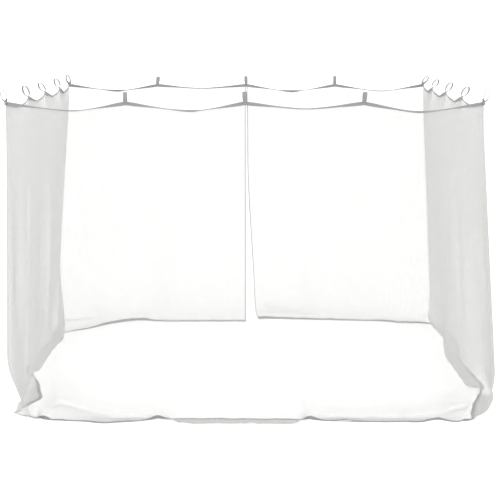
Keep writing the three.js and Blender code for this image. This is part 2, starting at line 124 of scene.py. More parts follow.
# Walls in the order in which the band goes round: the run at the wall's first place, that place's X
# or Y, how the place changes along the band, the outward way and the way that the band runs. In mm.
WALLS = {
    "back_left": (0, 0, -1, (0, 1), (-1, 0)),
    "left": (1500, 1500, -1, (-1, 0), (0, -1)),
    "front": (4500, -1500, 1, (0, -1), (1, 0)),
    "right": (7500, -1500, 1, (1, 0), (0, 1)),
    "back_right": (10500, 1500, -1, (0, 1), (-1, 0)),
}

# How the lower cloth falls. Each row is a place on the wall, then the knee, the foot and the end of
# the hem, each as outwards, along the band, and height, in mm.
FALLS = {
    "back_left": [
        [0, -4, 0, 200, 8, 0, 14, -38, 0, 1],
        [-400, 0, 0, 200, 12, 0, 13, -40, 0, 1],
        [-720, 8, 0, 190, 14, 0, 15, -38, 0, 1],
        [-850, 16, 0, 160, 30, 0, 26, -10, 0, 1],
        [-950, -4, 0, 190, -28, 0, 84, 4, 0, 1],
        [-1050, -18, 0, 240, -30, 0, 50, -44, 0, 1],
        [-1180, -26, 0, 330, -104, 0, 60, -150, 0, 1],
        [-1320, -10, 0, 430, -240, 10, 76, -330, 20, 1],
        [-1430, 20, 20, 500, -330, 30, 80, -430, 40, 1],
    ],
    "left": [
        [1500, 122, -20, 540, 52, 320, 80, 40, 460, 1],
        [1430, 110, 0, 510, 78, 405, 78, 88, 450, 1],
        [1390, 104, 0, 496, 44, 370, 70, 126, 430, 1],
        [1350, 98, 0, 480, 14, 330, 60, 138, 406, 1],
        [1200, 94, 0, 400, 2, 270, 20, 90, 330, 1],
        [1050, 90, 0, 330, -8, 215, 1, 88, 240, 1],
        [880, 84, 0, 260, -22, 150, 1, 96, 160, 1],
        [680, 76, 0, 200, -8, 90, 1, 108, 95, 1],
        [450, 62, 0, 170, 6, 40, 1, 118, 40, 1],
        [100, 52, 0, 150, 11, 0, 1, 140, 0, 1],
        [-220, 42, 0, 140, 12, 0, 1, 140, 0, 1],
        [-350, 36, 0, 140, 26, 0, 20, 105, 0, 1],
        [-460, 30, 0, 150, 44, 0, 66, 40, 0, 1],
        [-600, 30, 0, 150, 44, 0, 22, -22, 0, 1],
        [-760, 30, 0, 170, 30, 0, 6, -52, 0, 1],
        [-1000, 26, 0, 200, 14, 0, 10, -100, 0, 1],
        [-1200, 20, 0, 260, -6, 0, 26, -45, -20, 1],
        [-1380, 24, 0, 310, -34, 0, 58, 0, -70, 1],
    ],
    "front": [
        [-1500, 24, -52, 330, -30, 34, 90, -108, -44, 1],
        [-1360, 6, 0, 250, 66, 6, 12, -38, -14, 1],
        [-1325, -2, 0, 262, 34, 4, 56, -20, -14, 1],
        [-1295, -8, 0, 270, -8, 4, 60, 14, -16, 1],
        [-1265, -16, 0, 284, -56, 2, 60, 26, -16, 1],
        [-1220, -24, 0, 300, -120, 0, 66, 44, -16, 1],
        [-1060, -30, 0, 280, -92, 0, 40, 66, 0, 1],
        [-940, -26, 0, 220, -60, 0, 20, 104, 0, 1],
        [-840, -24, 0, 170, -38, 0, 4, 98, 0, 1],
        [-660, -20, 0, 130, -44, 0, 1, 50, 0, 1],
        [-560, 4, 0, 130, 10, 0, 44, 10, 0, 1],
        [-420, 64, 0, 110, 130, 0, 1, -8, 0, 1],
        [-150, 72, 0, 110, 142, 0, 1, -4, 0, 1],
        [100, 72, 0, 110, 146, 0, 1, 0, 0, 1],
        [330, 70, 0, 110, 134, 0, 1, 6, 0, 1],
        [410, 26, 0, 130, 28, 0, 44, 24, 0, 1],
        [530, -16, 0, 120, -44, 0, 1, 54, 0, 1],
        [650, -14, 0, 105, -40, 0, 1, 70, 0, 9],
        [800, -10, 0, 90, -36, 0, 1, 80, 0, 1],
        [1000, 0, 0, 100, -36, 0, 1, 80, 0, 1],
        [1130, 10, 10, 110, -34, 0, 10, 80, 0, 1],
        [1250, 2, 10, 170, -46, 0, 22, 30, 0, 1],
        [1350, 6, 20, 200, -86, 10, 40, 74, -6, 1],
        [1415, 20, 50, 215, -40, 20, 60, 72, -30, 1],
        [1465, 34, 60, 230, 20, 10, 74, 68, -48, 1],
    ],
    "right": [
        [-1500, 126, -44, 250, 46, -28, 48, -26, -72, 1],
        [-1430, 130, -10, 230, 76, -20, 22, -22, -44, 1],
        [-1350, 130, 0, 210, 108, 0, 1, -8, -20, 1],
        [-1150, 150, 0, 190, 178, 0, 1, 42, 0, 1],
        [-950, 148, 0, 170, 214, 0, 1, 106, 0, 1],
        [-860, 136, 0, 160, 134, 0, 62, 138, 0, 1],
        [-740, 116, 0, 140, 60, 0, 8, 190, 0, 1],
        [-500, 88, 0, 130, 44, 0, 1, 184, 0, 1],
        [-170, 70, 0, 130, 36, 0, 1, 164, 0, 1],
        [110, 64, 0, 130, 28, 0, 1, 152, 0, 1],
        [300, 72, 0, 130, 46, 0, 1, 176, 0, 1],
        [500, 90, 0, 140, 70, 0, 1, 204, 0, 1],
        [740, 104, 0, 150, 104, 0, 1, 222, 0, 1],
        [950, 104, 0, 160, 92, 0, 1, 212, 0, 1],
        [1200, 100, 0, 190, 76, -10, 1, 194, -20, 1],
        [1370, 94, 0, 220, 62, 0, 44, 122, -44, 1],
    ],
    "back_right": [
        [1500, 26, -104, 260, -28, -100, 64, -116, -122, 1],
        [1400, 8, -50, 200, -50, -40, 28, -110, -50, 1],
        [1310, 4, -20, 170, -40, -10, 26, -98, -10, 1],
        [1230, 4, 0, 150, 10, 0, 34, -48, 0, 1],
        [1120, 10, 0, 140, 30, 0, 14, -24, 0, 1],
        [900, 24, 0, 130, 50, 0, 14, -2, 0, 1],
        [640, 24, 0, 140, 78, 0, 20, 28, 0, 1],
        [470, 20, 0, 130, 96, 0, 24, 46, 0, 1],
        [290, 14, -20, 140, 113, -16, 28, 63, -20, 1],
        [160, 6, -44, 160, 116, -44, 34, 80, -50, 1],
        [0, 0, -70, 180, 44, -80, 60, 60, -104, 1],
    ],
}

# Broad upright folds: wall, place, half width, outwards, along, and the share of the drop where the
# fold is deepest.
WALL_FOLDS = [
    ("back_left", -450, 190, 12, 0, 0.6),
    ("back_left", -900, 140, -16, 0, 0.65),
    ("back_left", -1250, 120, 14, 0, 0.55),
    ("left", 1250, 90, -6, 0, 0.5),
    ("left", 900, 190, 7, 0, 0.6),
    ("left", 280, 150, -10, 0, 0.7),
    ("left", -100, 160, 10, 0, 0.7),
    ("left", -860, 130, -11, 0, 0.72),
    ("left", -1150, 130, 13, 0, 0.7),
    ("front", -1100, 140, 16, 0, 0.6),
    ("front", -700, 160, -12, 0, 0.6),
    ("front", -300, 180, 12, 0, 0.55),
    ("front", 150, 180, -10, 0, 0.6),
    ("front", 600, 160, 12, 0, 0.6),
    ("front", 950, 150, -12, 0, 0.65),
    ("right", -1250, 120, 6, 0, 0.6),
    ("right", -950, 130, -5, 0, 0.6),
    ("right", -420, 110, 6, 0, 0.7),
    ("right", -150, 130, -6, 0, 0.65),
    ("right", 280, 110, 6, 0, 0.7),
    ("right", 560, 130, -5, 0, 0.6),
    ("right", 1080, 150, 5, 0, 0.6),
    ("back_right", 1150, 140, 14, 0, 0.6),
    ("back_right", 700, 150, -14, 0, 0.6),
    ("back_right", 350, 150, 12, 0, 0.55),
    ("back_right", 0, 240, 0, 17, 0.4),
]

UP = np.array([0.0, 0.0, 1.0])
# The band's four ways along the plan square, the ways outwards there, and the corner ending each.
WAYS = np.array([(-1, 0), (0, -1), (1, 0), (0, 1)], float)
OUTWARDS = np.stack([WAYS[:, 1], -WAYS[:, 0]], axis=1)
CORNERS = np.array([(-1, 1), (-1, -1), (1, -1), (1, 1)], float) * SIDE / 2


# The shape of the cloth.


def smoothstep(start, end, value):
    """0 before start, 1 after end, and 3 t squared less 2 t cubed between."""
    share = np.clip((value - start) / (end - start), 0, 1)
    return share * share * (3 - 2 * share)


def unit(vectors):
    """Each vector divided by its length."""
    return vectors / np.linalg.norm(vectors, axis=-1, keepdims=True)


def run_of(wall, at):
    """Run in metres of a place on a wall in mm."""
    start, first, step = WALLS[wall][:3]
    return (start + (at - first) * step) * MM


def plan_at(run, reach):
    """The square plan: straight sides, and a quadratic curve over reach on each side of a corner."""
    turn = np.clip(np.floor(run / SIDE), 0, 3).astype(int)
    beside = run - SIDE * (turn + 0.5)
    share = np.clip((beside / reach + 1) / 2, 0, 1)
    back = np.minimum(beside + reach, 0) - (1 - share) ** 2 * reach
    on = np.maximum(beside - reach, 0) + share**2 * reach
    later = (turn + 1) % 4
    place = CORNERS[turn] + back[:, None] * WAYS[turn] + on[:, None] * WAYS[later]
    out = (1 - share)[:, None] * OUTWARDS[turn] + share[:, None] * OUTWARDS[later]
    return place + CENTRE, unit(out)


def heading_at(run):
    """Middle of the heading tape, the way outwards, and the way to its upper edge.

    Each bay sags as a V with a hyperbola's round point. The tape rolls about its length by soft steps
    between the loops, and hangs inside the square between the corners.
    """
    run = np.mod(run, ROUND)
    place = run / BAY
    bay = np.floor(place).astype(int) % BAYS
    share = place - np.floor(place)
    sag, low, before, at_low, after = HEADING_BAYS[bay].T
    to_low = np.where(share < low, share / low, (1 - share) / (1 - low))
    rounding = SAG_ROUNDING[bay]
    peak = np.hypot(1, rounding)
    depth = sag * MM * (peak - np.hypot(1 - to_low, rounding)) / (peak - rounding)
    leave = np.clip((share - ROLL_STARTS) / (ROLL_BEFORE - ROLL_STARTS), 0, 1)
    reach = np.clip((1 - ROLL_STARTS - share) / (1 - ROLL_STARTS - ROLL_AFTER), 0, 1)
    roll = np.radians(
        before * (1 - (1 - leave) ** 2)
        + (at_low - before) * smoothstep(ROLL_BEFORE, low, share)
        + (after - at_low) * smoothstep(low, ROLL_AFTER, share)
        - after * (1 - reach) ** 2
    )[:, None]
    from_corner = np.abs(run - SIDE / 2 - SIDE * np.round((run - SIDE / 2) / SIDE))
    inwards = LOOP_PULL_IN * smoothstep(0, BAY, from_corner)
    plan, out = plan_at(run, CORNER_REACH_TOP)
    middle = np.column_stack([plan - out * inwards[:, None], HEADING_HEIGHT - depth])
    out = np.column_stack([out, np.zeros(len(run))])
    return middle, out, np.cos(roll) * UP - np.sin(roll) * out


def fall_rows():
    """The fall tables as one list round the band: runs, and shifts of knee, foot and hem in metres."""
    runs, shifts = [], []
    for wall, rows in FALLS.items():
        out, along = (np.array([*way, 0.0]) for way in WALLS[wall][3:])
        for at, *numbers in rows:
            parts = np.reshape(numbers, (3, 3)) * MM
            runs.append(run_of(wall, at))
            shifts.append(parts[:, :1] * out + parts[:, 1:2] * along + parts[:, 2:] * UP)
    return np.array(runs), np.array(shifts)


FALL_RUNS, FALL_SHIFTS = fall_rows()


def between_falls(run):
    """A cubic between table rows, whose slope at each row comes from the rows on both sides of it."""
    rows = np.arange(len(FALL_RUNS))
    a, b = np.maximum(rows - 1, 0), np.minimum(rows + 1, len(rows) - 1)
    slope = (FALL_SHIFTS[b] - FALL_SHIFTS[a]) / (FALL_RUNS[b] - FALL_RUNS[a])[:, None, None]
    row = np.clip(np.searchsorted(FALL_RUNS, run, side="right") - 1, 0, len(rows) - 2)
    span = FALL_RUNS[row + 1] - FALL_RUNS[row]
    s = np.clip((run - FALL_RUNS[row]) / span, 0, 1)[:, None, None]
    span = span[:, None, None]
    rise = FALL_SHIFTS[row + 1] - FALL_SHIFTS[row]
    start, end = slope[row] * span, slope[row + 1] * span
    bow, twist = 3 * rise - 2 * start - end, start + end - 2 * rise
    return FALL_SHIFTS[row] + s * start + s**2 * bow + s**3 * twist


def fall_points(run):
    """Five points down the cloth: below the tape, the wall's top, the knee, the foot, the hem's end."""
    middle, _, up_edge = heading_at(run)
    lower = between_falls(run)
    lower[:, :, :2] += plan_at(run, CORNER_REACH_LOW)[0][:, None]
    lower[:, :, 2] = np.maximum(FLOOR_CLEAR, lower[:, :, 2])
    top = middle - up_edge * (TAPE_WIDTH / 2 + NET_TURN_IN)
    return np.stack([top, middle - UP * HEADING_DROP, *np.moveaxis(lower, 1, 0)], axis=1)


def fold_shift(run, share):
    """Broad folds: bell curves along the band that swell to a share of the drop and fade below it."""
    shift = np.zeros((len(run), len(share), 3))
    for wall, at, half_width, out, along, deepest in WALL_FOLDS:
        away = (run - run_of(wall, at)) / (half_width * MM)
        fade = smoothstep(0, deepest, share) * (1 - smoothstep(deepest, 1, share))
        size = np.exp(-away * away)[:, None] * fade
        out_way, along_way = (np.array([*way, 0]) for way in WALLS[wall][3:])
        way = out * MM * out_way + along * MM * along_way
        shift += size[:, :, None] * way
    return shift


# Places of two of the seven pieces that cloth_grid makes down the cloth.
UPRIGHT_WALL = 2
FOOT_BEND = 5


def cloth_grid(run, down):
    """Points of the cloth. Down it come four straight stretches joined by three quadratic bends.

    down is 0 below the tape and 7 at the hem's end. Its whole numbers are the ends of the stretches
    and bends in turn.
    """
    points = fall_points(run)
    ways = np.diff(points, axis=1)
    lengths = np.linalg.norm(ways, axis=2)
    ways /= lengths[:, :, None]
    beside = np.minimum(lengths[:, :3], lengths[:, 1:])
    beside[:, 2] = lengths[:, 2]
    reach = np.minimum(BEND_REACH, BEND_SHARE * beside)
    reach[:, 2] = np.minimum(reach[:, 2], lengths[:, 3] - HEM_WIDTH - HEM_STRAIGHT)
    none = np.zeros((len(run), 1))
    starts = points[:, :4] + ways * np.hstack([none, reach])[:, :, None]
    ends = points[:, 1:] - ways * np.hstack([reach, none])[:, :, None]
    first, control, last = (np.empty((len(run), 7, 3)) for _ in range(3))
    first[:, 0::2], control[:, 0::2], last[:, 0::2] = starts, (starts + ends) / 2, ends
    first[:, 1::2], control[:, 1::2], last[:, 1::2] = ends[:, :3], points[:, 1:4], starts[:, 1:]
    piece = np.minimum(down.astype(int), 6)
    t = (down - piece)[None, :, None]
    first, control, last = first[:, piece], control[:, piece], last[:, piece]
    grid = (1 - t) ** 2 * first + 2 * t * (1 - t) * control + t**2 * last
    wall = piece == UPRIGHT_WALL
    grid[:, wall] += fold_shift(run, (down - piece)[wall])
    lower = piece >= FOOT_BEND
    grid[:, lower] = with_ledge(grid[:, lower], points)
    return grid


def hem_grid(run, from_end):
    """Points of the lying cloth in line with its last stretch, measured back from the hem's end."""
    points = fall_points(run)
    way = unit(points[:, 3] - points[:, 4])
    return with_ledge(points[:, 4][:, None] + way[:, None] * from_end[None, :, None], points)


# A ledge grows with the length from hem to foot and with the foot's height, between these two of each.
LEDGE_LENGTHS = 0.05, 0.1
LEDGE_HEIGHTS = 0.02, 0.05
LEDGE_STEP = 0.12, 0.62  # shares of the length between which it rises


def with_ledge(grid, points):
    """Heights of the last stretch, where a high foot makes a ledge with the hem flat on the floor.

    From the hem's end to the foot the height follows a smooth step instead of the straight slope.
    It does so more the higher the foot stands and the farther it is from the end.
    """
    foot, end = points[:, 3], points[:, 4]
    across = foot[:, :2] - end[:, :2]
    length = np.linalg.norm(across, axis=1)
    along = ((grid[:, :, :2] - end[:, None, :2]) * (across / length[:, None])[:, None]).sum(axis=2)
    share = np.clip(along / length[:, None], 0, 1)
    size = smoothstep(*LEDGE_LENGTHS, length) * smoothstep(*LEDGE_HEIGHTS, foot[:, 2])
    ledge = end[:, 2:] + (foot[:, 2:] - end[:, 2:]) * smoothstep(*LEDGE_STEP, share)
    straight = end[:, 2:] + (foot[:, 2:] - end[:, 2:]) * share
    lifted = grid.copy()
    lifted[:, :, 2] = np.maximum(FLOOR_CLEAR, grid[:, :, 2] + size[:, None] * (ledge - straight))
    return lifted


def tape_grid(run, below):
    """Points in line with the heading tape, measured down from its middle."""
    middle, _, up_edge = heading_at(run)
    return middle[:, None] - up_edge[:, None] * below[None, :, None]


# Slim upright drapes: place on the run, half width, depth, slant along the band for a metre of fall,
# and the fallen length at which each comes and ends. All in metres.
DRAPES = 70
drape_numbers = np.random.default_rng(17)
DRAPE_RUN = (np.arange(DRAPES) + drape_numbers.uniform(0, 1, DRAPES)) * ROUND / DRAPES
DRAPE_WIDTH = drape_numbers.uniform(0.05, 0.1, DRAPES)
DRAPE_DEPTH = drape_numbers.uniform(0.0004, 0.0016, DRAPES) * drape_numbers.choice([-1, 1], DRAPES)
# The side walls hang smoother than the front and back.
SIDE_WALL_SHARE = 0.35
ON_SIDE_WALL = np.abs(np.mod(DRAPE_RUN, ROUND / 2) - SIDE) < SIDE / 2
DRAPE_DEPTH *= np.where(ON_SIDE_WALL, SIDE_WALL_SHARE, 1)
DRAPE_SLANT = drape_numbers.uniform(-0.07, 0.07, DRAPES)
DRAPE_TOP = drape_numbers.uniform(0.1, 1.3, DRAPES)
DRAPE_END = drape_numbers.uniform(1.5, 2.4, DRAPES)
DRAPE_COMES = 0.35
DRAPE_FADES = 0.4

# Creases that show as lighter streaks: run in metres, then in mm the slant along the band for a metre
# of fall, how far the cloth steps outwards along the band, half width of the step at the top and for a
# metre of fall, and the fallen length at which the crease starts and ends.
STREAKS = np.array([
    [run_of("left", 255), 30, 9, 66, 6, 800, 2000],
    [run_of("left", -780), 60, 9, 44, 8, 500, 2300],
    [run_of("right", 110), -20, -3, 60, 10, 500, 1700],
    [run_of("right", -650), -30, -3, 60, 10, 1000, 2200],
    [run_of("back_left", -780), 20, 6, 30, 10, 300, 2100],
    [run_of("back_left", -1210), 70, -9, 20, 14, 1300, 2200],
    [run_of("back_right", 760), 10, 6, 16, 6, 400, 2000],
    [run_of("back_right", 1290), 40, 8, 22, 12, 1200, 2200],
])
STREAKS[:, 1:] *= MM
STREAK_RETURN = 0.4  # half width of the slow step back
STREAK_FADE = 0.3

# Depth of the small pleats below the loops, the pleats to a radian, the distance over which they fade,
# how far above the net's edge they meet, and the fallen length at which they are whole.
PLEAT_DEPTH = 0.0028
PLEATS = 11
PLEAT_FADE = 0.2
PLEATS_MEET = 0.02
PLEATS_WHOLE = 0.05

# Ripples of the cloth on the floor: radians a metre in X and in Y, radians at the start, and share.
RIPPLES = [(31, 7, 0.4, 1), (13, -35, 2.1, 1), (58, 41, 4.0, 0.7), (-83, 66, 1.2, 0.5)]
RIPPLE_SUM = 1.6  # sum of the ripples at which they reach their height
RIPPLE_HEIGHT = 0.0022
RIPPLE_SHARPNESS = 1.5
LYING_HEIGHT = 0.03  # cloth above this hardly ripples

STANDING = 0.03, 0.2  # heights between which the slim drapes and streaks come in


def drape(run, fallen):
    """Slim upright drapes: slanting bell-shaped ridges and troughs, each over a part of the drop.

    fallen is the length of cloth above the point. Returns how far the cloth stands outwards.
    """
    shape = (len(run), fallen.shape[1], DRAPES)
    away = (run[:, None, None] - DRAPE_RUN - DRAPE_SLANT * (fallen[:, :, None] - 1)) / DRAPE_WIDTH
    fallen = np.broadcast_to(fallen[:, :, None], shape)
    come = smoothstep(DRAPE_TOP - DRAPE_COMES, DRAPE_TOP + DRAPE_COMES, fallen)
    go = smoothstep(DRAPE_END - DRAPE_FADES, DRAPE_END, fallen)
    return (DRAPE_DEPTH * np.exp(-away * away) * come * (1 - go)).sum(axis=2)


def streaks(run, fallen):
    """Slanting creases: a quick step outwards by a hyperbolic tangent, less a slow one."""
    at, slant, depth, width, wider, top, end = STREAKS.T[:, :, None, None]
    away = run[:, None] - at - slant * (fallen - 1)
    step = np.tanh(away / (width + wider * fallen)) - np.tanh(away / STREAK_RETURN)
    come = smoothstep(top - 0.2, top + STREAK_FADE, fallen)
    part = come * (1 - smoothstep(end - STREAK_FADE, end, fallen))
    return (depth * step * part).sum(axis=0)


def gathers(run, fallen):
    """Small pleats that spread from the foot of each loop: a cosine of the angle about that foot.

    They fade as a bell curve of the distance from the foot.
    """
    beside = (run - BAY * np.round(run / BAY))[:, None]
    low = fallen + PLEATS_MEET
    angle = np.arctan2(beside, low)
    fade = np.exp(-((np.hypot(beside, low) / PLEAT_FADE) ** 2))
    return PLEAT_DEPTH * np.cos(PLEATS * angle) * fade * smoothstep(0.0, PLEATS_WHOLE, fallen)


def crumple(points):
    """Ripples of the cloth that lies on the floor: a sum of waves in X and Y that only lifts it.

    Slow waves also move it sideways. All fade as a bell curve of the height, so they end where the
    cloth rises.
    """
    x, y, z = np.moveaxis(points, -1, 0)
    size = RIPPLE_HEIGHT * np.exp(-((z / LYING_HEIGHT) ** 2))
    waves = sum(share * np.sin(in_x * x + in_y * y + at) for in_x, in_y, at, share in RIPPLES)
    moved = points.copy()
    moved[..., 0] += size * np.sin(27 * y + 11 * x)
    moved[..., 1] += size * np.sin(31 * x - 9 * y + 1.0)
    moved[..., 2] += size * np.maximum(0, waves / RIPPLE_SUM) ** RIPPLE_SHARPNESS
    return moved


def net_grid(run, rows):
    """The net's points, with the fine shapes added to the broad one, and its lengths on the flat."""
    grid = np.concatenate(
        [
            tape_grid(run, np.array([TAPE_WIDTH / 2 - LAP])),
            cloth_grid(run, rows),
            hem_grid(run, np.array([HEM_WIDTH - LAP])),
        ],
        axis=1,
    )
    steps = np.linalg.norm(np.diff(grid, axis=1), axis=2)
    fallen = np.concatenate([np.zeros((len(run), 1)), np.cumsum(steps, axis=1)], axis=1)
    out = plan_at(run, CORNER_REACH_LOW)[1]
    standing = smoothstep(*STANDING, grid[:, :, 2])
    shift = (drape(run, fallen) + streaks(run, fallen) + gathers(run, fallen)) * standing
    grid[:, :, :2] += shift[:, :, None] * out[:, None]
    weave = np.stack([np.broadcast_to(run[:, None], fallen.shape), fallen, 0 * fallen], axis=2)
    return crumple(grid), weave


# Meshes.


def grid_faces(columns, rows):
    """Four-sided faces of a grid whose normals are down the rows crossed with along the columns."""
    first = (np.arange(columns - 1)[:, None] * rows + np.arange(rows - 1)).ravel()
    return np.stack([first, first + 1, first + rows + 1, first + rows], axis=1)


def closed_strip(grid, thickness):
    """A strip with two faces and a rim: each point is set off by half the thickness to both sides."""
    columns, rows = grid.shape[:2]
    outward = unit(np.cross(np.gradient(grid, axis=1), np.gradient(grid, axis=0)))
    offset = outward * np.broadcast_to(thickness, (columns, rows))[:, :, None] / 2
    points = np.concatenate([(grid + offset).reshape(-1, 3), (grid - offset).reshape(-1, 3)])
    outer = grid_faces(columns, rows)
    index = np.arange(columns * rows).reshape(columns, rows)
    ring = np.concatenate([index[:, 0], index[-1, 1:], index[-2::-1, -1], index[0, -2:0:-1]])
    ahead = np.roll(ring, -1)
    shift = columns * rows
    rim = np.stack([ahead, ahead + shift, ring + shift, ring], axis=1)
    return points, np.concatenate([outer, outer[:, ::-1] + shift, rim])


def add_piece(name, points, faces, weave, material, nodes):
    """Makes a smooth mesh object that rides on the net's body and stands for its CAD nodes.

    weave gives each point its place on the flat cloth: along it, across it, in metres.
    """
    mesh = bpy.data.meshes.new(name)
    mesh.from_pydata(points, [], faces)
    places = mesh.attributes.new("weave", "FLOAT_VECTOR", "POINT")
    places.data.foreach_set("vector", np.ascontiguousarray(weave, np.float32).ravel())
    mesh.polygons.foreach_set("use_smooth", np.ones(len(faces), bool))
    mesh.materials.append(material)
    mesh.update()
    piece = bpy.data.objects.new(name, mesh)
    bpy.context.scene.collection.objects.link(piece)
    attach(piece, "root")
    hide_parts(*nodes)
    return piece


# Shares across a tape and its thickness there: full, with edges that round off.
ACROSS = np.array([0, 0.04, 0.2, 0.4, 0.6, 0.8, 0.96, 1])
ROUNDED = np.array([0.35, 1, 1, 1, 1, 1, 1, 0.35])


def add_tape(name, grid, along, width, thickness, material, nodes):
    """A flat tape over a grid: its columns run along the tape, its rows are the shares across it."""
    points, faces = closed_strip(grid, thickness * ROUNDED)
    across = (ACROSS - 0.5) * width
    weave = np.stack(np.broadcast_arrays(along[:, None], across[None], 0.0), axis=2).reshape(-1, 3)
    return add_piece(name, points, faces, np.tile(weave, (2, 1)), material, nodes)


# Materials.


def linear(hex_colour):
    """sRGB hex colour as linear red, green and blue: a power curve with a straight foot."""
    shares = [int(hex_colour[i : i + 2], 16) / 255 for i in (1, 3, 5)]
    return [s / 12.92 if s <= 0.04045 else ((s + 0.055) / 1.055) ** 2.4 for s in shares]


def add_node(tree, kind, inputs=(), **settings):
    """Adds a node, makes its settings, then links each input to a socket or sets its value."""
    made = tree.nodes.new("ShaderNode" + kind)
    for name, value in settings.items():
        setattr(made, name, value)
    for key, value in dict(inputs).items():
        if isinstance(value, bpy.types.NodeSocket):
            tree.links.new(value, made.inputs[key])
        else:
            made.inputs[key].default_value = value
    return made


def new_material(name):
    """An empty node material and its tree, with the output node only."""
    material = bpy.data.materials.new(name)
    material.use_nodes = True
    tree = material.node_tree
    tree.nodes.clear()
    return material, tree, tree.nodes.new("ShaderNodeOutputMaterial")


def wave_scale(pitch):
    """Wave Texture's scale for a pitch in metres. At scale 1 it makes 20 radians of wave to a metre."""
    return 2 * math.pi / (20 * pitch)


THREAD_PITCH = 2 * 1.6 * MM
LEAST_COSINE = 0.02  # keeps the cover finite where the mesh is seen edge on
LIGHT_THROUGH = 0.35  # share of the threads' light that comes through from behind


def polyester_mosquito_mesh(settings):
    """Knitted polyester mesh: clear face on, and greyer at a slant, where its threads close up.

    The share of the view that the threads cover is 1 - exp(-k / cosine). The real mesh has about
    1.6 mm from thread to thread. It is drawn twice as coarse, so that it shows at all.
    """
    material, tree, output = new_material("polyester_mosquito_mesh")
    place = add_node(tree, "Attribute", attribute_name="weave").outputs["Vector"]
    wefts, warps = (
        add_node(
            tree,
            "TexWave",
            {"Vector": place, "Scale": wave_scale(THREAD_PITCH), "Distortion": 0.0},
            bands_direction=way,
        ).outputs["Fac"]
        for way in ("X", "Y")
    )
    threads = add_node(tree, "Math", {0: wefts, 1: warps}, operation="MAXIMUM").outputs[0]
    uneven = add_node(
        tree, "TexNoise", {"Vector": place, "Scale": 5.0, "Detail": 2.0, "Roughness": 0.5}
    ).outputs["Fac"]
    dense = add_node(
        tree, "MapRange", {"Value": threads, "To Min": 0.5, "To Max": 1.22}
    ).outputs["Result"]
    denser = add_node(
        tree,
        "MapRange",
        {"Value": uneven, "From Min": 0.3, "From Max": 0.7, "To Min": 0.96, "To Max": 1.04},
    ).outputs["Result"]
    cover = add_node(tree, "Math", {0: dense, 1: denser}, operation="MULTIPLY").outputs[0]
    cover = add_node(
        tree, "Math", {0: cover, 1: math.log(1 - settings.cover)}, operation="MULTIPLY"
    ).outputs[0]
    facing = add_node(tree, "LayerWeight", {"Blend": 0.5}).outputs["Facing"]
    cosine = add_node(
        tree, "Math", {0: 1 + LEAST_COSINE, 1: facing}, operation="SUBTRACT"
    ).outputs[0]
    let_by = add_node(tree, "Math", {0: cover, 1: cosine}, operation="DIVIDE").outputs[0]
    let_by = add_node(tree, "Math", {0: let_by}, operation="EXPONENT").outputs[0]
    covered = add_node(tree, "Math", {0: 1.0, 1: let_by}, operation="SUBTRACT").outputs[0]
    # The threads' grey holds painted shade of the threads on each other.
    colour = (*settings.self_shaded_thread_colour, 1)
    threads_front = add_node(
        tree,
        "BsdfPrincipled",
        {"Base Color": colour, "Roughness": 0.6, "IOR": 1.55, "Specular IOR Level": 0.3},
    ).outputs[0]
    threads_through = add_node(tree, "BsdfTranslucent", {"Color": colour}).outputs[0]
    lit = add_node(
        tree, "MixShader", {0: LIGHT_THROUGH, 1: threads_front, 2: threads_through}
    ).outputs[0]
    clear = add_node(tree, "BsdfTransparent", {"Color": (1, 1, 1, 1)}).outputs[0]
    whole = add_node(tree, "MixShader", {0: covered, 1: clear, 2: lit}).outputs[0]
    tree.links.new(whole, output.inputs["Surface"])
    return material


TAPE_RIB = 2 * 0.9 * MM
WEBBING_RIB = 2 * 1.2 * MM
STITCH_PITCH = 2 * 3 * MM
STITCH_HALF_WIDTH = 0.0007
STITCH_GAP = 0.3  # the higher, the longer the gap between two stitches
STITCH_TONE = 1.18  # stitches catch more light than the tape


